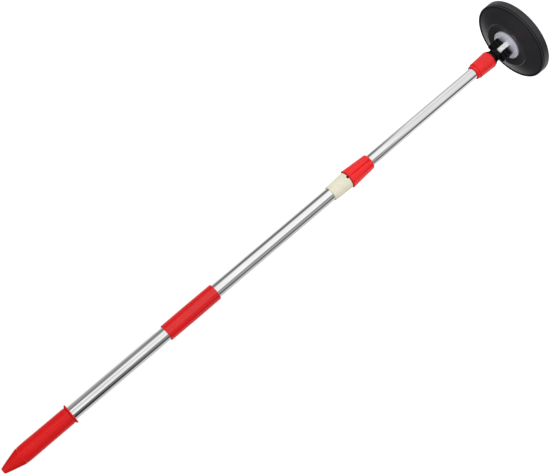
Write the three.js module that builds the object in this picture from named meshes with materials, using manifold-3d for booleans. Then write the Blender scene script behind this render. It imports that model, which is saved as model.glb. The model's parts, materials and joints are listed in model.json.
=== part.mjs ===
// Hand-press rotating mop pole with a round head plate, without its mop cloth.
// Millimetres, +Z up. The pole's axis is Z and the head plate's underside lies at z = 0.
// The head hinge's pin lies along X. The telescoping pole is drawn at its full length.
//
// Pressing the handle slides the inner tube up inside the outer one. A nut on top of the
// inner tube runs along a twisted strip fixed in the handle, and so spins the head.

import * as THREE from "three";
import { mergeVertices } from "three/addons/utils/BufferGeometryUtils.js";
import Module from "manifold-3d";

const wasm = await Module();
wasm.setup();

// ---- driving dimensions ------------------------------------------------------------

const TAU = 2 * Math.PI;
const FIT = 0.3; // gap around a piece that sits in a cut pocket
const POLE_SIDES = 32;
const PLATE_SIDES = 48;
const PIN_SIDES = 16;

const OUTER_TUBE = { radius: 12.5, bore: 11.8, bottom: 424.1, top: 1075 };
const INNER_TUBE = { radius: 11, bore: 10.3, bottom: 69.6, top: 640 };
const PLUG_RADIUS = 9.9; // what plugs into the inner tube at either end
const GRIP_TIP = 1156.4;
const GRIP_SKIRT = 1020.8;
const SLEEVE = { bottom: 719.3, top: 825.3 };

const PLATE = {
  radius: 76.8, wall: 3.3, wallTop: 12, rimTop: 15.7, cone: 72.2, boss: 44.8, bossTop: 27.3,
  well: 28.6, bore: 22.3, flangeLow: 17, flangeHigh: 20.5,
};
const RIB = { count: 8, thickness: 2, inner: 30, outer: 74.5, ring: 51 };
const HUB = {
  radius: 27.7, top: 27.5, lip: 1.6, face: 26.1, neckRadius: 21.6, neckBottom: 16.9, flangeBottom: 22.6,
};
const LUG = { thickness: 9.2, radius: 9.5, bottom: 24.3, screwOffset: 6 };
const RETAINER = { bore: 10, radius: 27, bottom: 13.4, top: 16.6, screwCircle: 16 };
const LUG_SCREW = { head: 3.2, shank: 1.5, bottom: 17.1, shoulder: 18.8, tip: 33 };
const RETAINER_SCREW = { head: 3, shank: 1.4, bottom: 11.6, shoulder: 13.1, tip: 21 };

const HINGE = { height: 41.5, pin: 3, head: 4.5, end: 18.6, headFrom: 17.1 };
const BARREL = { radius: 12.5, halfLength: 19, chamfer: 0.4, slot: 10, slotTop: 51.9 };
const STEM = { neck: 11.8, flange: 15, shoulder: 69, top: 99, pinHeight: 86, pin: 2, pinHalfLength: 10.8 };
const ROD_COLLAR = { bore: 11.2, bottom: 69.3, top: 112 };

const LOCK = { bottom: 368.2, split: 419.4, top: 459.6, small: 14.2, large: 17.6, base: 15.5 };
const GROOVE = { count: 8, length: 42, radius: 1.6, depth: 1.2 };
const NOTCH = { width: 4.6, depth: 2.5, height: 4.2, turn: 5 };

const STRIP = { width: 7, thickness: 2, bottom: 602, top: 1062, flatFrom: 1035, pitch: 80, step: 4 };
const STRIP_STOP = { radius: 8, bottom: 606, top: 609 };
const ANCHOR = {
  radius: 11.4, bottom: 1038, top: 1070, rivetHeight: 1050, rivet: 1.8, rivetHalfLength: 12.5,
};
const CLUTCH = {
  bore: 5, bottom: 618, shoulder: 655, floor: 659.5, rim: 671, radius: 11.3, well: 9.2, dogs: 4,
};
const NUT = { radius: 8.7, bottom: 662, top: 668.5, slack: 0.6 };

// ---- shapes ------------------------------------------------------------------------

// A turned solid. Its outline lists [radius, height] corners up the outside and down the inside.
function turned(outline, sides = POLE_SIDES) {
  const corners = outline.map(([radius, height]) => new THREE.Vector2(radius, height));
  return new THREE.LatheGeometry(corners, sides).rotateX(Math.PI / 2);
}

// A turned ring, whose outline closes on itself away from the axis.
function ring(outline, sides = POLE_SIDES) {
  return turned([...outline, outline[0]], sides);
}

// A straight-walled ring.
function tube(bore, radius, bottom, top, sides = POLE_SIDES) {
  return ring([[bore, bottom], [radius, bottom], [radius, top], [bore, top]], sides);
}

// A round bar between two places on one axis.
function bar(radius, from, to, axis = "z") {
  const shape = new THREE.CylinderGeometry(radius, radius, to - from, PIN_SIDES);
  shape.translate(0, (from + to) / 2, 0);
  if (axis === "x") shape.rotateZ(-Math.PI / 2);
  if (axis === "z") shape.rotateX(Math.PI / 2);
  return shape;
}

// A block centred on the pole's axis between two heights.
function block(width, depth, bottom, top) {
  return new THREE.BoxGeometry(width, depth, top - bottom).translate(0, 0, (bottom + top) / 2);
}

// A screw with a flat round head at its lower end, standing on the pole's axis.
function screw(size) {
  return turned([
    [0, size.bottom], [size.head, size.bottom], [size.head, size.shoulder],
    [size.shank, size.shoulder], [size.shank, size.tip], [0, size.tip],
  ], PIN_SIDES);
}

// The drive strip between two heights: flat at its top end and evenly twisted below.
function twistedStrip(grow, bottom, top) {
  const width = STRIP.width + 2 * grow;
  const thickness = STRIP.thickness + 2 * grow;
  const steps = Math.round((top - bottom) / STRIP.step);
  const strip = new THREE.BoxGeometry(width, thickness, top - bottom, 2, 1, steps);
  strip.translate(0, 0, (bottom + top) / 2);
  const corner = new THREE.Vector3();
  const up = new THREE.Vector3(0, 0, 1);
  const corners = strip.attributes.position;
  for (let i = 0; i < corners.count; i += 1) {
    corner.fromBufferAttribute(corners, i);
    corner.applyAxisAngle(up, (TAU * Math.min(corner.z - STRIP.flatFrom, 0)) / STRIP.pitch);
    corners.setXYZ(i, corner.x, corner.y, corner.z);
  }
  return strip;
}

// Copies of a shape, evenly turned around the pole's axis.
function aroundAxis(shape, count, startTurn = 0) {
  return Array.from({ length: count }, (_, i) => shape.clone().rotateZ(startTurn + (TAU * i) / count));
}

// ---- cutting and joining -----------------------------------------------------------

function toSolid(geometry) {
  const bare = geometry.clone();
  bare.deleteAttribute("normal");
  bare.deleteAttribute("uv");
  const merged = mergeVertices(bare);
  return new wasm.Manifold(new wasm.Mesh({
    numProp: 3,
    vertProperties: new Float32Array(merged.attributes.position.array),
    triVerts: new Uint32Array(merged.index.array),
  }));
}

function toGeometry(solid) {
  const mesh = solid.getMesh();
  const geometry = new THREE.BufferGeometry();
  geometry.setAttribute("position", new THREE.BufferAttribute(mesh.vertProperties, mesh.numProp));
  geometry.setIndex(new THREE.BufferAttribute(mesh.triVerts, 1));
  geometry.computeVertexNormals();
  return geometry;
}

function join(...shapes) {
  return toGeometry(shapes.map(toSolid).reduce((sum, next) => sum.add(next)));
}

function cut(shape, ...tools) {
  return toGeometry(tools.map(toSolid).reduce((rest, tool) => rest.subtract(tool), toSolid(shape)));
}

// ---- head plate and hub ------------------------------------------------------------

// One radial rib, from the boss skirt out to the rim, with its top buried in the shell.
function plateRib() {
  const outline = new THREE.Shape();
  outline.moveTo(RIB.inner, 10.6);
  outline.lineTo(RIB.outer, 4);
  outline.lineTo(RIB.outer, PLATE.wallTop - 0.2);
  outline.lineTo(70, 14.2);
  outline.lineTo(PLATE.boss - 0.8, 23.4);
  outline.lineTo(RIB.inner, 23.6);
  const rib = new THREE.ExtrudeGeometry(outline, { depth: RIB.thickness, bevelEnabled: false });
  return rib.rotateX(Math.PI / 2).translate(0, RIB.thickness / 2, 0);
}

// A thin domed shell with an upright rim, a dished boss and a bearing flange in its bore.
// A shallow groove runs round the rim's wall under its top edge, and another inside that edge.
function mopPlate() {
  const { radius, wall, wallTop, rimTop, cone, boss, bossTop, well, bore, flangeLow, flangeHigh } = PLATE;
  const skirt = well + 2.8;
  const shell = ring([
    [radius - wall, 0], [radius, 0], [radius, wallTop], [radius - 1.4, wallTop + 0.2],
    [radius - 1.4, rimTop - 1.8], [radius - 0.1, rimTop - 1.6], [radius - 0.1, rimTop],
    [radius - 1.4, rimTop], [radius - 1.7, rimTop - 1.8], [radius - 4.2, rimTop - 1.8],
    [cone, rimTop - 0.1], [boss, 24.8], [boss - 1.4, bossTop], [boss - 2.9, bossTop], [well + 2, 24.9],
    [well, 24.9], [well, flangeHigh], [bore, flangeHigh], [bore, flangeLow], [well, flangeLow],
    [well, 10], [skirt, 10], [skirt, 22.3], [boss - 1.8, 22.3], [70, 13.2], [radius - wall, wallTop - 0.8],
  ], PLATE_SIDES);
  const ringRib = tube(RIB.ring, RIB.ring + RIB.thickness, 4.5, 20.8, PLATE_SIDES);
  return join(shell, ringRib, ...aroundAxis(plateRib(), RIB.count, TAU / (2 * RIB.count)));
}

function thrustWasher() {
  return tube(22.6, 27.8, PLATE.flangeHigh + FIT, HUB.flangeBottom - FIT);
}

// The disc that the plate spins on, with a pocket for the lug and its two screws.
function hubPlate() {
  const disc = turned([
    [0, HUB.neckBottom], [HUB.neckRadius, HUB.neckBottom], [HUB.neckRadius, HUB.flangeBottom],
    [HUB.radius, HUB.flangeBottom], [HUB.radius, HUB.top - 0.5], [HUB.radius - 0.5, HUB.top],
    [HUB.radius - HUB.lip, HUB.top], [HUB.radius - HUB.lip, HUB.face], [0, HUB.face],
  ]);
  const pocket = block(LUG.thickness + 2 * FIT, 2 * (LUG.radius + FIT), LUG.bottom - FIT, HUB.top + 1);
  const screwHole = bar(LUG_SCREW.shank + 0.5, HUB.neckBottom - 1, LUG.bottom);
  const headRecess = bar(LUG_SCREW.head + 0.4, HUB.neckBottom - 1, LUG_SCREW.shoulder + FIT);
  const retainerHole = bar(RETAINER_SCREW.shank + FIT, HUB.neckBottom - 1, RETAINER_SCREW.tip + 0.9);
  retainerHole.translate(RETAINER.screwCircle, 0, 0);
  const lugCuts = [LUG.screwOffset, -LUG.screwOffset].flatMap((y) => [
    screwHole.clone().translate(0, y, 0),
    headRecess.clone().translate(0, y, 0),
  ]);
  return cut(disc, pocket, ...lugCuts, ...aroundAxis(retainerHole, 4, TAU / 8));
}

// The upright tongue that the fork holds, round at its top, with the hinge hole across it.
function hubLug() {
  const outline = new THREE.Shape();
  outline.moveTo(-LUG.radius, LUG.bottom);
  outline.lineTo(LUG.radius, LUG.bottom);
  outline.absarc(0, HINGE.height, LUG.radius, 0, Math.PI, false);
  const hole = new THREE.Path();
  hole.absarc(0, HINGE.height, HINGE.pin + FIT, 0, TAU, false);
  outline.holes.push(hole);
  const tongue = new THREE.ExtrudeGeometry(outline, {
    depth: LUG.thickness, bevelEnabled: false, curveSegments: PIN_SIDES,
  });
  tongue.rotateX(Math.PI / 2).rotateZ(Math.PI / 2).translate(-LUG.thickness / 2, 0, 0);
  const screwHole = bar(LUG_SCREW.shank + FIT, LUG.bottom - 1, LUG_SCREW.tip + 1);
  return cut(
    tongue,
    screwHole.clone().translate(0, LUG.screwOffset, 0),
    screwHole.clone().translate(0, -LUG.screwOffset, 0),
  );
}

// The ring screwed under the hub's neck, which keeps the plate on.
function hubRetainer() {
  const body = tube(RETAINER.bore, RETAINER.radius, RETAINER.bottom, RETAINER.top);
  const hole = bar(RETAINER_SCREW.shank + 0.4, RETAINER.bottom - 1, RETAINER.top + 1);
  hole.translate(RETAINER.screwCircle, 0, 0);
  return cut(body, ...aroundAxis(hole, 4, TAU / 8));
}

// ---- fork and its pins -------------------------------------------------------------

// A slotted barrel across the pole, with a collar and a stem that plugs into the inner tube.
function fork() {
  const { radius, halfLength, chamfer } = BARREL;
  const { neck, flange, shoulder } = STEM;
  const barrel = turned([
    [0, -halfLength], [radius - chamfer, -halfLength], [radius, chamfer - halfLength],
    [radius, halfLength - chamfer], [radius - chamfer, halfLength], [0, halfLength],
  ]);
  barrel.rotateY(Math.PI / 2).translate(0, 0, HINGE.height);
  const stem = turned([
    [0, shoulder - 21], [neck, shoulder - 21], [neck, shoulder - 9.5], [neck + 0.6, shoulder - 6.5],
    [flange - 1, shoulder - 3.8], [flange, shoulder - 2.4], [flange, shoulder], [PLUG_RADIUS, shoulder],
    [PLUG_RADIUS, STEM.top - 1], [PLUG_RADIUS - 1, STEM.top], [0, STEM.top],
  ]);
  const slot = block(BARREL.slot, 40, 20, BARREL.slotTop);
  const pinHole = bar(HINGE.pin + FIT, -20, 20, "x").translate(0, 0, HINGE.height);
  const headRecess = bar(HINGE.head + 0.4, HINGE.headFrom - FIT, 20, "x").translate(0, 0, HINGE.height);
  const washerRecess = headRecess.clone().translate(-20 - HINGE.headFrom + FIT, 0, 0);
  const stemHole = bar(STEM.pin + FIT, -20, 20, "x").translate(0, 0, STEM.pinHeight);
  return cut(join(barrel, stem), slot, pinHole, headRecess, washerRecess, stemHole);
}

function hingePin() {
  const shank = bar(HINGE.pin, -HINGE.end, HINGE.headFrom + 0.5, "x");
  const head = bar(HINGE.head, HINGE.headFrom, HINGE.end, "x");
  return join(shank, head).translate(0, 0, HINGE.height);
}

function pinWasher() {
  const washer = tube(HINGE.pin + FIT, HINGE.head, -HINGE.end + 0.3, -HINGE.headFrom, PIN_SIDES);
  return washer.rotateY(Math.PI / 2).translate(0, 0, HINGE.height);
}

function stemPin() {
  return bar(STEM.pin, -STEM.pinHalfLength, STEM.pinHalfLength, "x").translate(0, 0, STEM.pinHeight);
}

// ---- tubes, grips and collars ------------------------------------------------------

function innerTube() {
  const wall = tube(INNER_TUBE.bore, INNER_TUBE.radius, INNER_TUBE.bottom, INNER_TUBE.top);
  return cut(wall, bar(STEM.pin + FIT, -20, 20, "x").translate(0, 0, STEM.pinHeight));
}

function outerTube() {
  const wall = tube(OUTER_TUBE.bore, OUTER_TUBE.radius, OUTER_TUBE.bottom, OUTER_TUBE.top);
  return cut(wall, bar(ANCHOR.rivet + FIT, -20, 20, "y").translate(0, 0, ANCHOR.rivetHeight));
}

function rodCollar() {
  const { bore, bottom, top } = ROD_COLLAR;
  return ring([
    [bore, bottom], [15.3, bottom], [16.6, bottom + 2.1], [16.6, bottom + 5.5], [15.1, top - 6.8],
    [13.9, top - 5.8], [13.5, top - 2.9], [12.6, top], [bore, top],
  ]);
}

function gripSleeve() {
  const middle = (SLEEVE.bottom + SLEEVE.top) / 2;
  return ring([
    [12.6, SLEEVE.bottom], [14.2, SLEEVE.bottom], [14.9, SLEEVE.bottom + 0.8], [15.2, middle],
    [14.9, SLEEVE.top - 0.8], [14.2, SLEEVE.top], [12.6, SLEEVE.top],
  ]);
}

// The closed end grip: a flared skirt, a long barrel and a tapered nose.
function endGrip() {
  return turned([
    [0, GRIP_TIP - 8], [3.5, GRIP_TIP - 9.6], [9.5, GRIP_TIP - 30], [11, GRIP_TIP - 38],
    [12.3, 1080], [12.8, 1076],
    [12.8, GRIP_SKIRT], [17.7, GRIP_SKIRT], [17.7, GRIP_SKIRT + 2.4], [15, GRIP_SKIRT + 5.5],
    [15.3, 1111], [15, 1118], [14, GRIP_TIP - 31.5], [7.5, GRIP_TIP - 8], [5.5, GRIP_TIP - 2.6],
    [3, GRIP_TIP], [0, GRIP_TIP],
  ]);
}

// ---- twist lock --------------------------------------------------------------------

// The fixed half of the lock, gripping the outer tube's mouth, with a notch at its lower edge.
function lockBase() {
  const { split, top, base } = LOCK;
  const body = ring([
    [12.3, split - 30.5], [13.2, split - 30.5], [13.4, split - 29.5], [13.4, split - 5.7],
    [15.1, split - 5.7], [15.1, split + 0.4], [base, split + 0.8], [14.2, top - 3], [13.5, top],
    [12.6, top], [12.6, split + 1.9], [11.5, split + 1.9], [11.5, split - 24.5],
  ]);
  const notch = block(NOTCH.width, 4, split - 1, split + NOTCH.height);
  notch.translate(0, NOTCH.depth - base - 2, 0).rotateZ(THREE.MathUtils.degToRad(NOTCH.turn));
  return cut(body, notch);
}

// The turning half of the lock: a tapered collar with shallow lengthwise finger grooves.
function lockCollar() {
  const { bottom, split, small, large, base } = LOCK;
  const body = ring([
    [11.5, bottom], [13.4, bottom], [small, bottom + 1], [large, split - 1], [large - 0.4, split],
    [base, split], [base, split - 6.2], [13.8, split - 6.2], [13.8, bottom + 23], [13.2, bottom + 17],
    [12, bottom + 5], [11.5, bottom + 4],
  ]);
  const { length, radius, depth } = GROOVE;
  const groove = new THREE.CylinderGeometry(radius, radius, length, 12).rotateX(Math.PI / 2);
  groove.rotateX(Math.atan((large - small) / (split - bottom - 2)));
  groove.translate(0, depth - radius - (small + large) / 2, (bottom + split) / 2);
  return cut(body, ...aroundAxis(groove, GROOVE.count));
}

// A split ring that the collar squeezes onto the inner tube.
function clampCollet() {
  const { bottom } = LOCK;
  const body = ring([
    [11.15, bottom + 5.5], [11.7, bottom + 5.5], [12.8, bottom + 16], [12.8, bottom + 18],
    [12, bottom + 20.2], [11.15, bottom + 20.2],
  ]);
  return cut(body, block(2, 10, bottom, bottom + 25).translate(0, 12, 0));
}

function mouthBush() {
  const { split } = LOCK;
  return ring([
    [11.1, split + 2.2], [12.4, split + 2.2], [12.4, split + 4.4], [11.7, split + 4.4],
    [11.7, split + 28.5], [11.1, split + 28.5],
  ]);
}

// ---- press drive -------------------------------------------------------------------

function twistStrip() {
  const hole = bar(ANCHOR.rivet + FIT, -20, 20, "y").translate(0, 0, ANCHOR.rivetHeight);
  return cut(twistedStrip(0, STRIP.bottom, STRIP.top), hole);
}

// The disc on the strip's lower end, which stops the nut from running off it.
function stripStop() {
  const slot = twistedStrip(0.5, STRIP.bottom, STRIP.bottom + 3 * STRIP.step);
  const { radius, bottom, top } = STRIP_STOP;
  return cut(turned([[0, bottom], [radius, bottom], [radius, top], [0, top]]), slot);
}

function stripAnchor() {
  const { radius, bottom, top } = ANCHOR;
  const plug = turned([[0, bottom], [radius, bottom], [radius, top], [0, top]]);
  const slot = block(STRIP.width + 2 * FIT, STRIP.thickness + 2 * FIT, bottom - 1, STRIP.top + FIT);
  const hole = bar(ANCHOR.rivet + FIT, -20, 20, "y").translate(0, 0, ANCHOR.rivetHeight);
  return cut(plug, slot, hole);
}

function anchorRivet() {
  const { rivet, rivetHalfLength, rivetHeight } = ANCHOR;
  return bar(rivet, -rivetHalfLength, rivetHalfLength, "y").translate(0, 0, rivetHeight);
}

// The cup plugged into the inner tube's top, with dogs on its floor that the nut bites into.
function clutchHousing() {
  const { bore, bottom, shoulder, floor, rim, radius, well } = CLUTCH;
  const cup = ring([
    [bore, bottom], [PLUG_RADIUS, bottom], [PLUG_RADIUS, shoulder], [radius, shoulder],
    [radius, rim], [well, rim], [well, floor], [bore, floor],
  ]);
  const dog = block(3.4, 3, floor - 0.5, floor + 1.9).translate(7.7, 0, 0);
  return join(cup, ...aroundAxis(dog, CLUTCH.dogs));
}

function driveNut() {
  const disc = turned([
    [0, NUT.bottom], [NUT.radius, NUT.bottom], [NUT.radius, NUT.top], [0, NUT.top],
  ]);
  const dog = block(2.6, 3, NUT.bottom - 1.6, NUT.bottom + 0.5).translate(7, 0, 0);
  const slot = twistedStrip(NUT.slack, STRIP.bottom + 14 * STRIP.step, STRIP.bottom + 18 * STRIP.step);
  return cut(join(disc, ...aroundAxis(dog, CLUTCH.dogs, TAU / 8)), slot);
}

function clutchCap() {
  const seat = CLUTCH.rim + FIT;
  const top = seat + 2;
  const spigot = CLUTCH.well - FIT;
  return ring([
    [8.2, seat - 2], [spigot, seat - 2], [spigot, seat], [CLUTCH.radius - 0.1, seat],
    [CLUTCH.radius - 0.1, top], [5.4, top], [5.4, seat], [8.2, seat],
  ]);
}

// The sliding guide between the inner tube's end and the housing's shoulder.
function guideBush() {
  return tube(10.2, 11.65, INNER_TUBE.top + 0.4, CLUTCH.shoulder - 0.4);
}

// ---- assembly ----------------------------------------------------------------------

const LOOKS = {
  redPlastic: { color: 0xd21f28, roughness: 0.3, metalness: 0 },
  creamPlastic: { color: 0xe2ddcd, roughness: 0.5, metalness: 0 },
  blackPlastic: { color: 0x232327, roughness: 0.4, metalness: 0 },
  greyPlastic: { color: 0xa5a5b2, roughness: 0.45, metalness: 0 },
  whitePlastic: { color: 0xe8e6e2, roughness: 0.45, metalness: 0 },
  polishedSteel: { color: 0xd4d6d8, roughness: 0.18, metalness: 1 },
  plainSteel: { color: 0x9a9ca0, roughness: 0.35, metalness: 1 },
};

function piece(name, geometry, look) {
  const mesh = new THREE.Mesh(geometry, new THREE.MeshStandardMaterial(LOOKS[look]));
  mesh.name = name;
  return mesh;
}

function makeHandle() {
  const handle = new THREE.Group();
  handle.add(piece("outer_tube", outerTube(), "polishedSteel"));
  handle.add(piece("end_grip", endGrip(), "redPlastic"));
  handle.add(piece("grip_sleeve", gripSleeve(), "redPlastic"));
  handle.add(piece("lock_base", lockBase(), "creamPlastic"));
  handle.add(piece("mouth_bush", mouthBush(), "whitePlastic"));
  handle.add(piece("clamp_collet", clampCollet(), "whitePlastic"));
  handle.add(piece("twist_strip", twistStrip(), "plainSteel"));
  handle.add(piece("strip_stop", stripStop(), "plainSteel"));
  handle.add(piece("strip_anchor", stripAnchor(), "whitePlastic"));
  handle.add(piece("anchor_rivet", anchorRivet(), "plainSteel"));
  return handle;
}

function makeRod() {
  const rod = new THREE.Group();
  rod.add(piece("inner_tube", innerTube(), "polishedSteel"));
  rod.add(piece("rod_collar", rodCollar(), "redPlastic"));
  rod.add(piece("fork", fork(), "blackPlastic"));
  rod.add(piece("stem_pin", stemPin(), "plainSteel"));
  rod.add(piece("hinge_pin", hingePin(), "plainSteel"));
  rod.add(piece("pin_washer", pinWasher(), "plainSteel"));
  rod.add(piece("clutch_housing", clutchHousing(), "whitePlastic"));
  rod.add(piece("clutch_cap", clutchCap(), "whitePlastic"));
  return rod;
}

function makeHub() {
  const hub = new THREE.Group();
  hub.add(piece("hub_plate", hubPlate(), "greyPlastic"));
  hub.add(piece("hub_lug", hubLug(), "whitePlastic"));
  hub.add(piece("hub_retainer", hubRetainer(), "whitePlastic"));
  [LUG.screwOffset, -LUG.screwOffset].forEach((y, i) => {
    const lugScrew = piece(`lug_screw_${i + 1}`, screw(LUG_SCREW), "plainSteel");
    lugScrew.position.y = y;
    hub.add(lugScrew);
  });
  for (let i = 0; i < 4; i += 1) {
    const turn = (TAU * (i + 0.5)) / 4;
    const retainerScrew = piece(`retainer_screw_${i + 1}`, screw(RETAINER_SCREW), "plainSteel");
    retainerScrew.position.set(Math.cos(turn), Math.sin(turn), 0).multiplyScalar(RETAINER.screwCircle);
    hub.add(retainerScrew);
  }
  return hub;
}

const group = new THREE.Group();
group.add(makeHandle(), makeRod(), makeHub());
group.add(piece("lock_collar", lockCollar(), "redPlastic"));
group.add(piece("guide_bush", guideBush(), "whitePlastic"));
group.add(piece("drive_nut", driveNut(), "whitePlastic"));
group.add(piece("mop_plate", mopPlate(), "blackPlastic"));
group.add(piece("thrust_washer", thrustWasher(), "whitePlastic"));

export default group;
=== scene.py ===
"""Blender model of a hand-press rotating mop pole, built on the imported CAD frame.

Lengths in the outlines are millimetres; Blender's own units are metres. The pole's axis is Z.
"""
import json
import math

import bmesh
import bpy
from mathutils import Matrix, Vector


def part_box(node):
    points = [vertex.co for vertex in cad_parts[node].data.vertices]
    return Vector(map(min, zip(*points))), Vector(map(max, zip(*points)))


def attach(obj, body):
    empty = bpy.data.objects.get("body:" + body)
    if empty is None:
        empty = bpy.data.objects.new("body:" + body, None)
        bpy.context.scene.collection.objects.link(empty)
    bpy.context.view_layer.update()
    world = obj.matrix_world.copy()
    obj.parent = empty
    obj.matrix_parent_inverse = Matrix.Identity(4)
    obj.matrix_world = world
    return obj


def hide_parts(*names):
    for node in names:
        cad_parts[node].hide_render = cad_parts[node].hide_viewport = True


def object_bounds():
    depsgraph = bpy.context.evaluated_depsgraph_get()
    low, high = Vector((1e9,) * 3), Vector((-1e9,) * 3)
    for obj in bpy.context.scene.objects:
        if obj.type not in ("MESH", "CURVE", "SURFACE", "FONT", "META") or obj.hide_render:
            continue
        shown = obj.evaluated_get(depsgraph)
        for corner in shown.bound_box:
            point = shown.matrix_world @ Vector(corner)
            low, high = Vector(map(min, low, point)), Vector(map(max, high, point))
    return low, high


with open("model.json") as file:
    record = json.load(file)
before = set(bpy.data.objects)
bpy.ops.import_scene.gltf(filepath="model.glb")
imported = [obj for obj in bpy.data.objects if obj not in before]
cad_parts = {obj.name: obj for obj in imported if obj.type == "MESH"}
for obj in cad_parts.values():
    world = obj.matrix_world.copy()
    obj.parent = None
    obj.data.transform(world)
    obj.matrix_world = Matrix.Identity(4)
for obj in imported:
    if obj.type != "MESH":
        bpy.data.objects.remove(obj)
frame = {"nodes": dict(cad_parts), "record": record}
cad_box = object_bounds()

MM = 0.001
TAU = 2 * math.pi
POLE_SIDES = 144
LOCK_SIDES = 288
PLATE_SIDES = 480
FORK_SIDES = 96
SMALL_SIDES = 64
THROUGH = 25  # how far a tool that cuts right through the pole reaches from its axis
FIT_GAP = 0.3  # gap left between pieces that fit into or against each other
TUBE_WALL = 0.7
PIN = 3  # the hinge pin's radius
SCREW_HOLE = 1.8  # radius of the hole that a screw passes through
VIEW_TURN = math.radians(-8)  # how far round the pole the camera and its lights stand from the front


# ---- meshes ------------------------------------------------------------------------

def rounded(outline, steps=6):
    """A closed outline of (radius, height[, fillet]) corners, with the given fillets as arcs."""
    corners = [Vector((c[0], c[1], 0)) for c in outline]
    points = []
    for i, corner in enumerate(outline):
        here = corners[i]
        if len(corner) < 3:
            points.append(here)
            continue
        back = corners[i - 1] - here
        ahead = corners[(i + 1) % len(corners)] - here
        half = back.angle(ahead) / 2
        cut = min(corner[2] / math.tan(half), 0.48 * back.length, 0.48 * ahead.length)
        centre = here + (back.normalized() + ahead.normalized()).normalized() * cut / math.cos(half)
        start = here + back.normalized() * cut - centre
        end = here + ahead.normalized() * cut - centre
        sweep = start.angle(end)
        for k in range(steps + 1):
            share = k / steps
            mix = start * math.sin((1 - share) * sweep) + end * math.sin(share * sweep)
            points.append(centre + mix / math.sin(sweep))
    return [(p.x, p.y) for p in points]


def new_object(name, mesh):
    piece = bpy.data.objects.new(name, mesh)
    bpy.context.scene.collection.objects.link(piece)
    return piece


def from_bmesh(name, bm):
    bmesh.ops.recalc_face_normals(bm, faces=bm.faces)
    mesh = bpy.data.meshes.new(name)
    bm.to_mesh(mesh)
    bm.free()
    return new_object(name, mesh)


def turned(name, outline, sides=POLE_SIDES, shift=None):
    """A solid turned about Z. shift(angle, radius, height) gives a change of radius, in mm."""
    rows = rounded(outline)
    bm = bmesh.new()
    grid = []
    for radius, height in rows:
        if radius < 1e-6:
            grid.append([bm.verts.new((0, 0, height * MM))] * sides)
            continue
        row = []
        for k in range(sides):
            angle = TAU * k / sides
            out = radius + (shift(angle, radius, height) if shift else 0)
            spot = Vector((out * math.sin(angle), -out * math.cos(angle), height)) * MM
            row.append(bm.verts.new(spot))
        grid.append(row)
    for i, low in enumerate(grid):
        high = grid[(i + 1) % len(grid)]
        for k in range(sides):
            ring = [low[k], low[(k + 1) % sides], high[(k + 1) % sides], high[k]]
            face = [v for j, v in enumerate(ring) if v is not ring[j - 1]]
            if len(set(face)) > 2:
                bm.faces.new(face)
    return from_bmesh(name, bm)


def bar(name, radius, start, end, axis="z", sides=SMALL_SIDES):
    """A round bar between two places on one axis, in mm."""
    bm = bmesh.new()
    depth = (end - start) * MM
    width = radius * MM
    bmesh.ops.create_cone(bm, cap_ends=True, segments=sides, radius1=width, radius2=width, depth=depth)
    bmesh.ops.translate(bm, verts=bm.verts, vec=(0, 0, (start + end) / 2 * MM))
    if axis == "x":
        bmesh.ops.rotate(bm, verts=bm.verts, matrix=Matrix.Rotation(math.pi / 2, 3, "Y"))
    if axis == "y":
        bmesh.ops.rotate(bm, verts=bm.verts, matrix=Matrix.Rotation(-math.pi / 2, 3, "X"))
    return from_bmesh(name, bm)


def block(name, width, depth, bottom, top):
    """A block centred on the pole's axis between two heights, in mm."""
    bm = bmesh.new()
    bmesh.ops.create_cube(bm, size=1)
    bmesh.ops.scale(bm, verts=bm.verts, vec=(width * MM, depth * MM, (top - bottom) * MM))
    bmesh.ops.translate(bm, verts=bm.verts, vec=(0, 0, (bottom + top) / 2 * MM))
    return from_bmesh(name, bm)


def slab(name, outline, start, end):
    """A flat plate with an outline of (depth, height) points, between two places along X, in mm."""
    bm = bmesh.new()
    face = bm.faces.new([bm.verts.new((start * MM, y * MM, z * MM)) for y, z in outline])
    grown = bmesh.ops.extrude_face_region(bm, geom=[face])
    side = [v for v in grown["geom"] if isinstance(v, bmesh.types.BMVert)]
    bmesh.ops.translate(bm, verts=side, vec=((end - start) * MM, 0, 0))
    return from_bmesh(name, bm)


def across(piece, height):
    """Lays a piece that was made along Z along X instead, at a height in mm."""
    piece.data.transform(Matrix.Translation((0, 0, height * MM)) @ Matrix.Rotation(math.pi / 2, 4, "Y"))
    return piece


def moved(piece, x=0, y=0, z=0, turn=0):
    """Moves a piece's mesh by x, y and z in mm, then turns it about the pole's axis."""
    piece.data.transform(Matrix.Rotation(turn, 4, "Z") @ Matrix.Translation((x * MM, y * MM, z * MM)))
    return piece


def combine(piece, tools, operation):
    """Joins or cuts a piece by other pieces, which are used up."""
    for tool in tools:
        step = piece.modifiers.new(operation.lower(), "BOOLEAN")
        step.operation = operation
        step.solver = "EXACT"
        step.object = tool
    apply_modifiers(piece)
    for tool in tools:
        bpy.data.objects.remove(tool)
    return piece


def apply_modifiers(piece):
    graph = bpy.context.evaluated_depsgraph_get()
    mesh = bpy.data.meshes.new_from_object(piece.evaluated_get(graph))
    piece.modifiers.clear()
    piece.data = mesh
    return piece


def eased(piece, width, segments=3, angle=32):
    """Rounds a piece's sharp edges by a width in mm."""
    bevel = piece.modifiers.new("eased", "BEVEL")
    bevel.width = width * MM
    bevel.segments = segments
    bevel.limit_method = "ANGLE"
    bevel.angle_limit = math.radians(angle)
    bevel.miter_outer = "MITER_ARC"
    return apply_modifiers(piece)


def smooth(mesh, angle=30):
    """Smooth shading, with the edges above an angle in degrees kept sharp."""
    mesh.shade_smooth()
    mesh.set_sharp_from_angle(angle=math.radians(angle))


def shade(piece, angle=30):
    """Smooth shading, with the large faces kept flat beside their rounded edges."""
    smooth(piece.data, angle)
    weighted = piece.modifiers.new("weighted", "WEIGHTED_NORMAL")
    weighted.weight = 100
    weighted.keep_sharp = True
    return apply_modifiers(piece)


# ---- materials ---------------------------------------------------------------------

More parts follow.
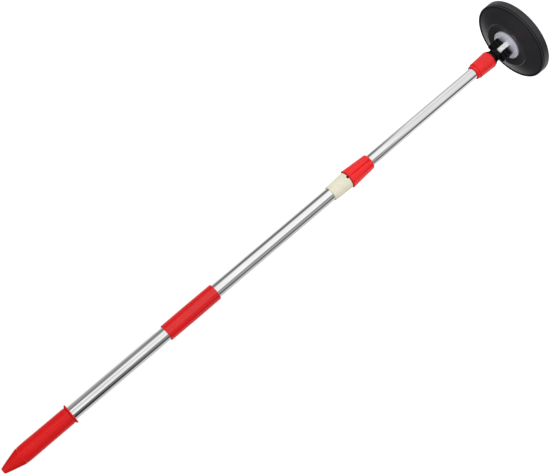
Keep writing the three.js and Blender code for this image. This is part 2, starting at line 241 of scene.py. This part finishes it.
def set_range(node, start, end, low, high):
    for name, number in (("From Min", start), ("From Max", end), ("To Min", low), ("To Max", high)):
        node.inputs[name].default_value = number


class Nodes:
    """A material's node tree, with a Principled shader and object coordinates."""

    def __init__(self, name):
        self.material = bpy.data.materials.new(name)
        self.material.use_nodes = True
        self.tree = self.material.node_tree
        self.shader = self.tree.nodes["Principled BSDF"]
        self.place = self.add("ShaderNodeTexCoord").outputs["Object"]

    def add(self, kind, **settings):
        node = self.tree.nodes.new(kind)
        for key, value in settings.items():
            setattr(node, key, value)
        return node

    def link(self, source, target):
        self.tree.links.new(source, target)

    def noise(self, scale, detail=3, stretch=(1, 1, 1), roughness=0.55):
        mapping = self.add("ShaderNodeMapping")
        mapping.inputs["Scale"].default_value = stretch
        self.link(self.place, mapping.inputs["Vector"])
        texture = self.add("ShaderNodeTexNoise")
        texture.inputs["Scale"].default_value = scale
        texture.inputs["Detail"].default_value = detail
        texture.inputs["Roughness"].default_value = roughness
        self.link(mapping.outputs["Vector"], texture.inputs["Vector"])
        return texture.outputs["Fac"]

    def spread(self, value, low, high, start=0.3, end=0.7):
        """Maps a noise value onto a range."""
        node = self.add("ShaderNodeMapRange")
        set_range(node, start, end, low, high)
        self.link(value, node.inputs["Value"])
        return node.outputs["Result"]

    def tint(self, value, dark, light):
        """Mixes two colours by a noise value."""
        ramp = self.add("ShaderNodeValToRGB")
        ramp.color_ramp.elements[0].position = 0.3
        ramp.color_ramp.elements[0].color = (*dark, 1)
        ramp.color_ramp.elements[1].position = 0.7
        ramp.color_ramp.elements[1].color = (*light, 1)
        self.link(value, ramp.inputs["Fac"])
        return ramp.outputs["Color"]

    def bump(self, value, height_mm, strength=1.0, under=None):
        node = self.add("ShaderNodeBump")
        node.inputs["Distance"].default_value = height_mm * MM
        node.inputs["Strength"].default_value = strength
        self.link(value, node.inputs["Height"])
        if under:
            self.link(under, node.inputs["Normal"])
        return node.outputs["Normal"]


def linear(red, green, blue):
    """A colour given in 0 to 255 display values, as linear values."""
    def channel(value):
        share = value / 255
        return share / 12.92 if share <= 0.04045 else ((share + 0.055) / 1.055) ** 2.4
    return tuple(channel(v) for v in (red, green, blue))


def shifted(colour, share):
    return tuple(min(1.0, c * share) for c in colour)


def plastic(name, colour, roughness, variation=0.06, grain=0.01, waviness=0.03, specular=0.5):
    """Moulded plastic: faint colour drift, uneven gloss, fine grain and a slight waviness."""
    nodes = Nodes(name)
    drift = nodes.noise(45, detail=4)
    drifting = nodes.tint(drift, shifted(colour, 1 - variation), shifted(colour, 1 + variation))
    nodes.link(drifting, nodes.shader.inputs["Base Color"])
    gloss = nodes.noise(160, detail=5)
    nodes.link(nodes.spread(gloss, roughness * 0.85, roughness * 1.15), nodes.shader.inputs["Roughness"])
    wave = nodes.bump(nodes.noise(60, detail=2), waviness)
    fine = nodes.bump(nodes.noise(1800, detail=2), grain, under=wave)
    nodes.link(fine, nodes.shader.inputs["Normal"])
    nodes.shader.inputs["Specular IOR Level"].default_value = specular
    return nodes.material


def polished_tube():
    """Polished drawn stainless tube, with faint lines along its length."""
    nodes = Nodes("polished_tube")
    lines = nodes.noise(900, detail=3, stretch=(1, 1, 0.004))
    cloud = nodes.noise(18, detail=4)
    colour = nodes.tint(cloud, (0.80, 0.795, 0.80), (0.87, 0.865, 0.87))
    nodes.link(colour, nodes.shader.inputs["Base Color"])
    nodes.link(nodes.spread(lines, 0.03, 0.06), nodes.shader.inputs["Roughness"])
    nodes.link(nodes.bump(lines, 0.001, 0.5), nodes.shader.inputs["Normal"])
    nodes.shader.inputs["Metallic"].default_value = 1.0
    return nodes.material


def plain_steel():
    """Plain zinc-coated steel for the pins, screws and the strip."""
    nodes = Nodes("plain_steel")
    cloud = nodes.noise(250, detail=5)
    nodes.link(nodes.tint(cloud, (0.40, 0.41, 0.43), (0.56, 0.57, 0.58)), nodes.shader.inputs["Base Color"])
    nodes.link(nodes.spread(cloud, 0.28, 0.42), nodes.shader.inputs["Roughness"])
    nodes.link(nodes.bump(nodes.noise(1500), 0.01), nodes.shader.inputs["Normal"])
    nodes.shader.inputs["Metallic"].default_value = 1.0
    return nodes.material


RED = plastic("red_plastic_look", linear(197, 8, 10), 0.3, variation=0.04, waviness=0.012, specular=0.3)
SLEEVE_RED = plastic("sleeve_red_look", linear(200, 10, 14), 0.15, variation=0.05, waviness=0.02)
BRIGHT_RED = plastic(
    "bright_red_look", linear(224, 14, 18), 0.26, variation=0.04, waviness=0.012, specular=0.4,
)
CREAM = plastic("cream_plastic_look", linear(216, 211, 190), 0.42, variation=0.025)
BLACK = plastic(
    "black_plastic_look", linear(38, 38, 42), 0.34, variation=0.15, waviness=0.02, specular=0.4,
)
DEEP_BLACK = plastic(
    "deep_black_look", linear(9, 9, 11), 0.26, variation=0.15, waviness=0.01, specular=0.15,
)
GREY = plastic("grey_plastic_look", linear(219, 220, 231), 0.42, variation=0.03, grain=0.015)
# Painted shade: a dark red for the neck under the collar's skirt and for the notch, standing for the
# collar's red in shadow.
PAINTED_SHADE_RED = plastic("painted_shade_red_look", linear(118, 22, 20), 0.6, specular=0.2)
WHITE = plastic("white_plastic_look", linear(250, 249, 248), 0.45, variation=0.02)
TUBE = polished_tube()
STEEL = plain_steel()


# ---- placing pieces ----------------------------------------------------------------

BODIES = frame["record"]["behaviour"]["bodies"]
BODY_OF = {node: body for body, members in BODIES.items() for node in members}


def finish_piece(piece, node, material):
    """Gives a piece its material, and puts it on the frame in place of a CAD node."""
    piece.data.materials.clear()
    piece.data.materials.append(material)
    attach(piece, BODY_OF[node])
    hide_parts(node)
    return piece


def ends(node):
    """A CAD node's lowest and highest heights, in mm."""
    low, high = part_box(node)
    return low.z / MM, high.z / MM


def reach(node):
    """A CAD node's largest radius about the pole's axis, in mm, from its width."""
    low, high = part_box(node)
    return (high.x - low.x) / 2 / MM


# ---- handle ------------------------------------------------------------------------

def make_tube(node, pin, axis):
    """A stainless tube with eased ends, and a hole across it for a pin."""
    bottom, top = ends(node)
    radius = reach(node)
    bore = radius - TUBE_WALL
    lip = 0.25
    tube = turned(f"{node}_wall", [
        (bore, bottom, lip), (radius, bottom, lip), (radius, top, lip), (bore, top, lip),
    ])
    pin_low, pin_high = ends(pin)
    hole = bar("pin_hole", (pin_high - pin_low) / 2 + FIT_GAP, -THROUGH, THROUGH, axis)
    combine(tube, [moved(hole, z=(pin_low + pin_high) / 2)], "DIFFERENCE")
    return finish_piece(shade(tube), node, TUBE)


def make_end_grip():
    """A flared skirt with a groove, a slightly swelling barrel, a fine ring line and a tapered nose."""
    skirt, tip = ends("end_grip")
    flange = reach("end_grip") - 0.1
    bore = 12.8
    line = skirt + 98
    grip = turned("end_grip_shell", [
        (0, tip - 8), (3.5, tip - 9.6, 1), (9.5, tip - 30, 2), (11, tip - 38, 2), (12.3, tip - 78, 1),
        (bore, tip - 82, 0.5), (bore, skirt, 0.4), (flange, skirt, 0.5), (flange, skirt + 2.2, 0.9),
        (15.6, skirt + 3.3, 0.8), (14.3, skirt + 4.4, 0.4), (14.5, skirt + 5.4, 0.4),
        (14.95, skirt + 6.6, 0.8), (15.0, skirt + 56, 30), (15.25, skirt + 84, 30),
        (15.0, line - 0.8, 0.3), (14.3, line, 0.2), (14.3, line + 0.9, 0.2), (14.8, line + 1.7, 0.3),
        (13.8, tip - 31, 40), (7.5, tip - 8.4, 8), (4.8, tip, 2.2), (0, tip),
    ])
    return finish_piece(shade(grip), "end_grip", RED)


def make_grip_sleeve():
    """The smooth red sleeve, a little wider at its middle."""
    bottom, top = ends("grip_sleeve")
    swell = reach("grip_sleeve")
    end = swell - 0.3
    bore = 12.6
    middle = (bottom + top) / 2
    sleeve = turned("grip_sleeve_shell", [
        (bore, bottom, 0.3), (end, bottom, 0.9), (swell, middle, 900), (end, top, 0.9), (bore, top, 0.3),
    ])
    return finish_piece(shade(sleeve), "grip_sleeve", SLEEVE_RED)


def make_lock_base():
    """The cream half of the lock: a neck that the collar covers, a wide edge and a fine end ring."""
    bottom, top = ends("lock_base")
    wide = reach("lock_base")
    edge = ends("lock_collar")[1] + 1.4
    seat = bottom + 24.8
    neck = 15.1
    bore = 11.5
    tube_seat = 12.6
    base = turned("lock_base_shell", [
        (12.3, bottom, 0.3), (13.2, bottom, 0.4), (13.4, bottom + 1), (13.4, seat, 0.3),
        (neck, seat, 0.2), (neck, edge - 0.4, 0.2), (wide, edge, 0.4), (14.35, top - 5, 0.4),
        (13.95, top - 4.4, 0.3), (13.95, top - 3.7, 0.3), (14.3, top - 3.1, 0.4), (14.1, top - 0.8, 0.6),
        (13.4, top, 0.5), (tube_seat, top, 0.3), (tube_seat, edge + 1.1, 0.2), (bore, edge + 1.1, 0.2),
        (bore, bottom + 6),
    ])
    width = 4.6
    depth = 2.5
    notch_top = edge + 2.8
    notch = block("notch", width, 4, edge - 1.6, notch_top)
    moved(notch, y=-(wide - depth + 2), turn=math.radians(5))
    combine(base, [notch], "DIFFERENCE")
    finish_piece(shade(base), "lock_base", CREAM)
    paint_gap_shade(base, tube_seat - 0.1, wide - 0.45, seat, edge, notch_top + 0.1)
    return base


def paint_gap_shade(base, inner, outer, seat, edge, notch_top):
    """Painted shade: makes the neck beside the collar, and the faces sunk in the notch, dark red, the
    collar's red as it looks in shadow.
    """
    base.data.materials.append(PAINTED_SHADE_RED)
    for face in base.data.polygons:
        out = math.hypot(face.center.x, face.center.y) / MM
        height = face.center.z / MM
        in_notch = face.center.y < 0 and inner < out < outer and seat - 0.5 < height < notch_top
        on_neck = inner < out < 15.2 and seat < height < edge
        # painted shade on the notch's faces and on the neck hidden under the collar's skirt
        if in_notch or on_neck:
            face.material_index = 1


def make_lock_collar():
    """The red turning collar, tapered, with eight finger grooves that also notch its small end."""
    bottom, top = ends("lock_collar")
    wide = reach("lock_collar")
    small = 14.2
    step = TAU / 8
    half_width = 1.4
    depth = 1.7

    def grooves(angle, radius, height):
        on_small_end = radius >= 12.7 and height < bottom + 3
        turn = (angle + step / 2) % step - step / 2
        share = abs(turn) * radius / half_width
        if share > 1 or not (radius > 13.9 or on_small_end):
            return 0
        fade = min(1, max(0, (top - 0.8 - height) / 1.5))
        return -depth * fade * (0.5 + 0.5 * math.cos(math.pi * share))

    collar = turned("lock_collar_shell", [
        (11.5, bottom, 0.2), (13.3, bottom, 0.5), (small, bottom + 0.9, 0.8),
        ((small + wide) / 2, (bottom + top) / 2), (wide, top - 1, 0.7), (wide - 0.5, top, 0.4),
        (15.5, top, 0.3), (15.5, top - 6.2, 0.3), (13.8, top - 6.2, 0.3), (13.8, bottom + 23),
        (13.2, bottom + 17), (12, bottom + 5), (11.5, bottom + 4),
    ], sides=LOCK_SIDES, shift=grooves)
    return finish_piece(shade(collar, 40), "lock_collar", BRIGHT_RED)


# ---- rod ---------------------------------------------------------------------------

def make_rod_collar():
    """The red collar: a rolled lower rim, a tapered body, and a narrow lip towards the tube."""
    bottom, top = ends("rod_collar")
    wide = reach("rod_collar")
    bore = 11.2
    collar = turned("rod_collar_shell", [
        (bore, bottom, 0.2), (15.2, bottom, 0.8), (wide, bottom + 1.5, 0.9), (wide, bottom + 2.9, 0.6),
        (wide - 0.5, bottom + 3.5, 0.4), (wide - 0.4, bottom + 6, 6), (15.2, top - 8, 2),
        (15.1, top - 6.8, 0.6), (13.7, top - 5.9, 0.4), (13.6, top - 4.9, 0.3), (13.9, top - 4.3, 0.4),
        (13.5, top - 1.6, 0.8), (12.6, top, 0.6), (bore, top, 0.2),
    ])
    return finish_piece(shade(collar), "rod_collar", BRIGHT_RED)


def hinge_height():
    """The height of the hinge pin's axis, in mm."""
    low, high = ends("hinge_pin")
    return (low + high) / 2


def make_fork():
    """The slotted barrel that holds the lug, its neck and flange, and the stem in the tube."""
    top = ends("fork")[1]
    half_length = reach("fork")
    shoulder = ends("rod_collar")[0] - FIT_GAP
    centre = hinge_height()
    radius = 12.5
    neck = 11.8
    flange = 15
    plug = 9.9
    barrel = turned("fork_body", [
        (0, -half_length), (radius, -half_length, 0.4), (radius, half_length, 0.4), (0, half_length),
    ], sides=FORK_SIDES)
    across(barrel, centre)
    stem = turned("stem", [
        (0, shoulder - 21), (neck, shoulder - 21), (neck, shoulder - 8.5, 8), (13.6, shoulder - 3.6, 3),
        (flange, shoulder - 2.4, 0.8), (flange, shoulder, 0.6), (plug, shoulder, 0.3), (plug, top, 1.0),
        (0, top),
    ], sides=FORK_SIDES)
    combine(barrel, [stem], "UNION")
    slot = block("slot", 10, 40, centre - 21, centre + 10.4)
    head = 4.9
    seat = half_length - 2.2
    pin_hole = moved(bar("pin_hole", PIN + FIT_GAP, -THROUGH, THROUGH, "x"), z=centre)
    recess = moved(bar("head_recess", head, seat, THROUGH, "x"), z=centre)
    washer_recess = moved(bar("washer_recess", head, -THROUGH, -seat, "x"), z=centre)
    pin_low, pin_high = ends("stem_pin")
    stem_hole = bar("stem_hole", (pin_high - pin_low) / 2 + FIT_GAP, -THROUGH, THROUGH, "x")
    moved(stem_hole, z=(pin_low + pin_high) / 2)
    combine(barrel, [slot, pin_hole, recess, washer_recess, stem_hole], "DIFFERENCE")
    eased(barrel, 0.2)
    return finish_piece(shade(barrel), "fork", DEEP_BLACK)


def make_hinge_pin():
    """A pin with a flat head at one end."""
    low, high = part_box("hinge_pin")
    left = low.x / MM
    right = high.x / MM
    head = (high.z - low.z) / 2 / MM
    pin = turned("hinge_pin_shank", [
        (0, left), (PIN, left, 0.5), (PIN, right - 1.5), (head, right - 1.5, 0.2), (head, right, 0.7),
        (0, right),
    ], sides=SMALL_SIDES)
    return finish_piece(shade(across(pin, hinge_height())), "hinge_pin", STEEL)


def make_pin_washer():
    """The ring on the pin's other end."""
    low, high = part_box("pin_washer")
    left = low.x / MM
    right = high.x / MM
    rim = (high.z - low.z) / 2 / MM
    bore = PIN + FIT_GAP
    washer = turned("pin_washer_ring", [
        (bore, left, 0.1), (rim, left, 0.3), (rim, right, 0.3), (bore, right, 0.1),
    ], sides=SMALL_SIDES)
    return finish_piece(shade(across(washer, hinge_height())), "pin_washer", STEEL)


# ---- hub ---------------------------------------------------------------------------

LUG_SCREWS = ("lug_screw_1", "lug_screw_2")
RETAINER_SCREWS = ("retainer_screw_1", "retainer_screw_2", "retainer_screw_3", "retainer_screw_4")


def middle_of(node):
    """A CAD node's middle, in mm."""
    low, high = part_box(node)
    return (low + high) / 2 / MM


def drill(node, name, radius, bottom, top):
    """A round tool on a screw's axis, between two heights in mm."""
    centre = middle_of(node)
    return moved(bar(name, radius, bottom, top), x=centre.x, y=centre.y)


def make_hub_plate():
    """The grey disc: a raised edge, a fine ring line, the lug's pocket and the screw holes."""
    bottom, top = ends("hub_plate")
    radius = reach("hub_plate")
    neck = 21.6
    flange = bottom + 5.7
    edge = radius - 1.6
    line = radius - 5.6
    face = top - 1.4
    disc = turned("hub_plate_disc", [
        (0, bottom), (neck, bottom, 0.5), (neck, flange, 0.3), (radius, flange, 0.4), (radius, top, 0.5),
        (edge, top, 0.3), (edge, face, 0.3), (line + 0.4, face, 0.1), (line, face - 0.5, 0.1),
        (line - 0.4, face, 0.1), (0, face),
    ])
    lug_low, lug_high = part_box("hub_lug")
    lug_size = (lug_high - lug_low) / MM
    seat = lug_low.z / MM
    pocket_width = lug_size.x + 2 * FIT_GAP
    pocket_depth = lug_size.y + 2 * FIT_GAP
    tools = [block("pocket", pocket_width, pocket_depth, seat - FIT_GAP, top + 2)]
    below = bottom - 1
    for node in LUG_SCREWS:
        tools.append(drill(node, "lug_hole", 2.0, below, seat))
        tools.append(drill(node, "lug_recess", 3.6, below, bottom + 2.2))
    for node in RETAINER_SCREWS:
        tools.append(drill(node, "retainer_hole", 1.7, below, ends(node)[1] + 0.9))
    combine(disc, tools, "DIFFERENCE")
    return finish_piece(shade(disc), "hub_plate", GREY)


def make_hub_lug():
    """The white tongue, round at the top, with the hinge hole through it."""
    low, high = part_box("hub_lug")
    bottom = low.z / MM
    radius = (high.y - low.y) / 2 / MM
    centre = hinge_height()
    arc = 48
    outline = [(-radius, bottom), (radius, bottom)]
    for k in range(arc + 1):
        angle = math.pi * k / arc
        outline.append((radius * math.cos(angle), centre + radius * math.sin(angle)))
    lug = slab("hub_lug_tongue", outline, low.x / MM, high.x / MM)
    tools = [moved(bar("pin_hole", PIN + FIT_GAP, -THROUGH, THROUGH, "x"), z=centre)]
    for node in LUG_SCREWS:
        tools.append(drill(node, "screw_hole", SCREW_HOLE, bottom - 1, ends(node)[1] + 1))
    combine(lug, tools, "DIFFERENCE")
    eased(lug, 0.45)
    return finish_piece(shade(lug), "hub_lug", WHITE)


def make_hub_retainer():
    """The white ring that holds the hub, with a fine ring line under it and four screw holes."""
    bottom, top = ends("hub_retainer")
    radius = reach("hub_retainer")
    bore = 10
    line = 12
    half_width = 0.5
    deep = bottom + 0.5
    ring = turned("hub_retainer_ring", [
        (bore, bottom, 0.5), (line - half_width, bottom, 0.3), (line - half_width, deep, 0.2),
        (line + half_width, deep, 0.2), (line + half_width, bottom, 0.3), (radius, bottom, 0.8),
        (radius, top, 0.4), (bore, top, 0.4),
    ])
    holes = [drill(node, "screw_hole", SCREW_HOLE, bottom - 1, top + 1) for node in RETAINER_SCREWS]
    combine(ring, holes, "DIFFERENCE")
    return finish_piece(shade(ring), "hub_retainer", WHITE)


def make_screw(node, shank, head_height):
    """A pan-head screw with a cross recess, its head at the lower end, and a threaded shank."""
    bottom, top = ends(node)
    head = reach(node)
    shoulder = bottom + head_height
    pitch = 0.9
    depth = 0.35
    thread = [(shank, shoulder)]
    for k in range(int((top - shoulder - 1) / pitch)):
        root = shoulder + 0.5 + k * pitch
        thread += [(shank - depth, root), (shank, root + pitch * 0.45)]
    screw = turned(f"{node}_shape", [
        (0, bottom), (head, bottom, 0.9), (head, shoulder, 0.1), *thread, (shank - 0.4, top - 0.2),
        (0, top),
    ], sides=48)
    width = 0.7
    length = 3.4
    deep = bottom + 0.9
    arms = [
        block("arm", width, length, bottom - 1, deep),
        block("arm", length, width, bottom - 1, deep),
    ]
    combine(screw, arms, "DIFFERENCE")
    centre = middle_of(node)
    moved(screw, x=centre.x, y=centre.y)
    return finish_piece(shade(screw), node, STEEL)


# ---- head plate --------------------------------------------------------------------

def make_mop_plate():
    """The domed plate: a ribbed rim wall, a grooved rim, a long cone and a dished boss."""
    bottom, top = ends("mop_plate")
    radius = reach("mop_plate")
    inside = radius - 3.3
    groove = radius - 1.7
    lip = radius - 0.1
    rim = bottom + 15.7
    wall_top = bottom + 12
    rib_height = 0.3
    bore = 22.3
    socket = 28.6
    collar = 31.4

    def rim_ribs(angle, at_radius, height):
        """Fine upright ribs round the rim's wall."""
        on_wall = at_radius > radius - 0.05 and height < wall_top
        return -rib_height if on_wall and round(angle * PLATE_SIDES / TAU) % 2 else 0

    shell = turned("mop_plate_shell", [
        (inside, bottom, 0.5), (radius - 0.2, bottom, 0.6), (radius, bottom + 1.4),
        (radius, wall_top - 0.8), (radius - 0.3, wall_top - 0.2, 0.2), (groove, wall_top + 0.1, 0.3),
        (groove, rim - 1.8, 0.3), (lip, rim - 1.5, 0.3), (lip, rim, 0.5), (radius - 1.5, rim, 0.4),
        (radius - 1.8, rim - 1.9, 0.3), (radius - 4.1, rim - 1.9, 0.3), (radius - 4.6, rim - 0.1, 0.6),
        (58, 20.9), (44.8, 24.9, 0.8), (43.8, top - 0.5, 0.5), (43.2, top, 0.4), (41.9, top, 0.6),
        (30.6, 24.9, 0.8), (socket, 24.7, 0.5), (socket, 20.5, 0.3), (bore, 20.5, 0.3), (bore, 17, 0.3),
        (socket, 17, 0.3), (socket, 10, 0.4), (collar, 10, 0.4), (collar, 22.3, 0.5), (43, 22.3, 2),
        (70, 13.2, 2), (inside, wall_top - 0.8, 1),
    ], sides=PLATE_SIDES, shift=rim_ribs)
    ring = turned("ring_rib", [(51, 4.5, 0.3), (53, 4.5, 0.3), (53, 20.5), (51, 20.5)], sides=192)
    outline = [(30, 10.6), (74.5, 4), (74.5, 11.8), (70, 14.2), (44, 23.4), (30, 23.6)]
    count = 8
    ribs = [moved(slab("rib", outline, -1, 1), turn=TAU * (k + 0.5) / count) for k in range(count)]
    combine(shell, [ring, *ribs], "UNION")
    return finish_piece(shade(shell), "mop_plate", BLACK)


def make_thrust_washer():
    """The thin flat ring between the hub and the plate's seat."""
    bottom, top = ends("thrust_washer")
    radius = reach("thrust_washer")
    bore = 22.6
    ring = turned("thrust_washer_ring", [
        (bore, bottom, 0.3), (radius, bottom, 0.4), (radius, top, 0.4), (bore, top, 0.3),
    ])
    return finish_piece(shade(ring), "thrust_washer", WHITE)


# ---- pieces inside the tubes -------------------------------------------------------

INNER_LOOKS = {
    "mouth_bush": WHITE, "clamp_collet": WHITE, "strip_anchor": WHITE, "clutch_housing": WHITE,
    "clutch_cap": WHITE, "guide_bush": WHITE, "drive_nut": WHITE, "twist_strip": STEEL,
    "strip_stop": STEEL, "anchor_rivet": STEEL, "stem_pin": STEEL,
}


def dress_inner_nodes():
    """The CAD pieces that stay inside the tubes keep their shapes and get materials."""
    for node, material in INNER_LOOKS.items():
        piece = frame["nodes"][node]
        piece.data.materials.clear()
        piece.data.materials.append(material)
        smooth(piece.data)


# ---- camera, lights and floor ------------------------------------------------------

def make_camera():
    """Level with the upper pole and a little above it, turned so that the pole lies aslant."""
    data = bpy.data.cameras.new("camera")
    camera = bpy.data.objects.new("camera", data)
    bpy.context.scene.collection.objects.link(camera)
    data.sensor_width = 36
    data.lens = 72.4
    turn = Matrix.Rotation(VIEW_TURN, 3, "Z")
    aim = turn @ Vector((0.0053, 0, 0.5823))
    camera.location = turn @ Vector((0.0053, -1.800, 1.0276))
    roll = math.radians(-130.23)
    upright = (aim - camera.location).to_track_quat("-Z", "Y").to_matrix()
    camera.rotation_euler = (upright @ Matrix.Rotation(roll, 3, "Z")).to_euler()
    bpy.context.scene.camera = camera


def make_floor():
    bm = bmesh.new()
    bmesh.ops.create_circle(bm, cap_ends=True, segments=96, radius=8)
    floor = from_bmesh("floor", bm)
    nodes = Nodes("floor_look")
    cloud = nodes.noise(3, detail=2)
    nodes.link(nodes.tint(cloud, (0.93, 0.93, 0.93), (0.95, 0.95, 0.95)), nodes.shader.inputs["Base Color"])
    nodes.shader.inputs["Roughness"].default_value = 0.9
    nodes.shader.inputs["Specular IOR Level"].default_value = 0.0
    nodes.shader.inputs["Emission Color"].default_value = (1, 1, 1, 1)
    nodes.shader.inputs["Emission Strength"].default_value = 0.6
    floor.data.materials.append(nodes.material)
    floor.location.z = cad_box[0].z - 0.0002
    floor.visible_glossy = False


# What the polished tubes mirror at three heights, as brightness by direction: degrees from the
# camera's side, anticlockwise seen from above.
LEVEL_PANELS = [
    (-180, 0.90), (-140, 0.75), (-122, 0.62), (-104, 0.62), (-96, 0.50), (-89, 0.22), (-82, 0.0),
    (-72, 0.0), (-64, 0.06), (-56, 0.18), (-48, 0.14), (-40, 0.10), (-32, 0.55), (-25, 1.0),
    (-17, 1.12), (-8, 1.05), (0, 0.90), (8, 0.78), (15, 0.70), (22, 0.80), (30, 1.05), (38, 1.15),
    (46, 0.80), (54, 0.36), (61, 0.18), (70, 0.23), (82, 0.34), (92, 0.36), (104, 0.40), (120, 0.52),
    (140, 0.72), (180, 0.90),
]
MIDDLE_PANELS = [
    (-180, 0.95), (-125, 0.68), (-110, 0.70), (-97, 0.62), (-88, 0.40), (-80, 0.12), (-70, 0.08),
    (-62, 0.26), (-54, 0.52), (-46, 0.46), (-38, 0.27), (-30, 0.32), (-24, 0.55), (-16, 0.96),
    (-8, 1.15), (8, 1.12), (22, 1.04), (38, 1.15), (47, 1.05), (56, 0.80), (65, 0.56), (74, 0.28),
    (84, 0.06), (95, 0.10), (103, 0.40), (115, 0.60), (130, 0.75), (180, 0.95),
]
LOW_PANELS = [
    (-180, 0.95), (-130, 0.95), (-100, 0.88), (-91, 0.76), (-84, 0.50), (-77, 0.12), (-70, 0.02),
    (-63, 0.06), (-55, 0.34), (-46, 0.60), (-36, 0.76), (-20, 0.90), (0, 0.92), (20, 0.87), (40, 0.80),
    (50, 0.82), (66, 1.0), (78, 0.95), (90, 0.74), (100, 0.58), (111, 0.54), (125, 0.68), (150, 0.95),
    (180, 0.95),
]
CEILING_PANELS = [
    (-180, 0.05), (-140, 0.06), (-105, 0.45), (0, 0.55), (105, 0.45), (140, 0.06), (180, 0.05),
]
# The soft light that falls on the plain pieces, by direction in the same way.
SOFT_PANELS = [
    (-180, 0.25), (-100, 0.15), (-50, 0.32), (0, 0.75), (50, 0.58), (110, 0.15), (180, 0.25),
]


class World:
    """The studio's light, as a node tree that works out a colour from a direction."""

    def __init__(self, name):
        world = bpy.data.worlds.new(name)
        bpy.context.scene.world = world
        world.use_nodes = True
        self.tree = world.node_tree
        place = self.tree.nodes.new("ShaderNodeTexCoord")
        split = self.tree.nodes.new("ShaderNodeSeparateXYZ")
        turn = self.tree.nodes.new("ShaderNodeVectorRotate")
        turn.rotation_type = "Z_AXIS"
        turn.inputs["Angle"].default_value = -VIEW_TURN
        self.link(place.outputs["Generated"], turn.inputs["Vector"])
        self.link(turn.outputs["Vector"], split.inputs["Vector"])
        self.height = split.outputs["Z"]
        back = self.math("MULTIPLY", split.outputs["Y"], -1)
        around = self.math("ARCTAN2", split.outputs["X"], back)
        self.direction = self.span(around, -math.pi, math.pi, 0, 1)

    def link(self, source, target):
        self.tree.links.new(source, target)

    def math(self, operation, first, second):
        node = self.tree.nodes.new("ShaderNodeMath")
        node.operation = operation
        self.link(first, node.inputs[0])
        if isinstance(second, (int, float)):
            node.inputs[1].default_value = second
        else:
            self.link(second, node.inputs[1])
        return node.outputs[0]

    def span(self, value, start, end, low, high):
        """Maps one range of a value onto another, and holds it at the ends."""
        node = self.tree.nodes.new("ShaderNodeMapRange")
        set_range(node, start, end, low, high)
        self.link(value, node.inputs["Value"])
        return node.outputs["Result"]

    def panels(self, levels):
        """A ring of light and dark panels, given as (degrees, brightness)."""
        ramp = self.tree.nodes.new("ShaderNodeValToRGB")
        stops = ramp.color_ramp.elements
        while len(stops) < len(levels):
            stops.new(0.5)
        for stop, (degrees, level) in zip(stops, levels):
            stop.position = (degrees + 180) / 360
            stop.color = (level, level, level, 1)
        self.link(self.direction, ramp.inputs["Fac"])
        return ramp.outputs["Color"]

    def mix(self, share, first, second):
        node = self.tree.nodes.new("ShaderNodeMix")
        node.data_type = "RGBA"
        for source, target in ((share, "Factor"), (first, "A"), (second, "B")):
            if isinstance(source, tuple):
                node.inputs[target].default_value = source
            else:
                self.link(source, node.inputs[target])
        return node.outputs["Result"]


def make_world():
    """A white studio. Reflections see upright panels, a dark band and then a ceiling dark at the back."""
    world = World("studio")
    lowered = world.span(world.height, -0.02, -0.20, 0, 1)
    low = world.span(world.height, -0.355, -0.39, 0, 1)
    mirrored = world.mix(lowered, world.panels(LEVEL_PANELS), world.panels(MIDDLE_PANELS))
    mirrored = world.mix(low, mirrored, world.panels(LOW_PANELS))
    raised = world.span(world.height, 0.03, 0.13, 0, 1)
    mirrored = world.mix(raised, mirrored, (0.06, 0.06, 0.06, 1))
    high = world.span(world.height, 0.42, 0.62, 0, 1)
    mirrored = world.mix(high, mirrored, world.panels(CEILING_PANELS))
    overhead = world.span(world.height, 0.3, 0.8, 0, 1)
    soft = world.mix(overhead, world.panels(SOFT_PANELS), (0.72, 0.72, 0.72, 1))
    rays = world.tree.nodes.new("ShaderNodeLightPath")
    seen = world.mix(rays.outputs["Is Diffuse Ray"], (1, 1, 1, 1), soft)
    seen = world.mix(rays.outputs["Is Glossy Ray"], seen, mirrored)
    world.link(seen, world.tree.nodes["Background"].inputs["Color"])


def make_light(name, place, aim, size, power):
    data = bpy.data.lights.new(name, "AREA")
    data.size = size
    data.energy = power
    light = bpy.data.objects.new(name, data)
    light.visible_glossy = False
    bpy.context.scene.collection.objects.link(light)
    light.location = Matrix.Rotation(VIEW_TURN, 3, "Z") @ Vector(place)
    light.rotation_euler = (Vector(aim) - light.location).to_track_quat("-Z", "Y").to_euler()


def main():
    make_camera()
    make_tube("outer_tube", "anchor_rivet", "y")
    make_end_grip()
    make_grip_sleeve()
    make_lock_base()
    make_lock_collar()
    make_tube("inner_tube", "stem_pin", "x")
    make_rod_collar()
    make_fork()
    make_hinge_pin()
    make_pin_washer()
    make_hub_plate()
    make_hub_lug()
    make_hub_retainer()
    for node in LUG_SCREWS:
        make_screw(node, 1.5, 1.7)
    for node in RETAINER_SCREWS:
        make_screw(node, 1.4, 1.5)
    make_mop_plate()
    make_thrust_washer()
    dress_inner_nodes()
    make_floor()
    make_world()
    middle = (0, 0, 0.55)
    make_light("key", (1.0, -2.2, 1.7), middle, 1.2, 22)
    make_light("fill", (-1.8, -1.2, 1.2), middle, 1.6, 2.5)
    bpy.context.scene.view_settings.view_transform = "Standard"


main()
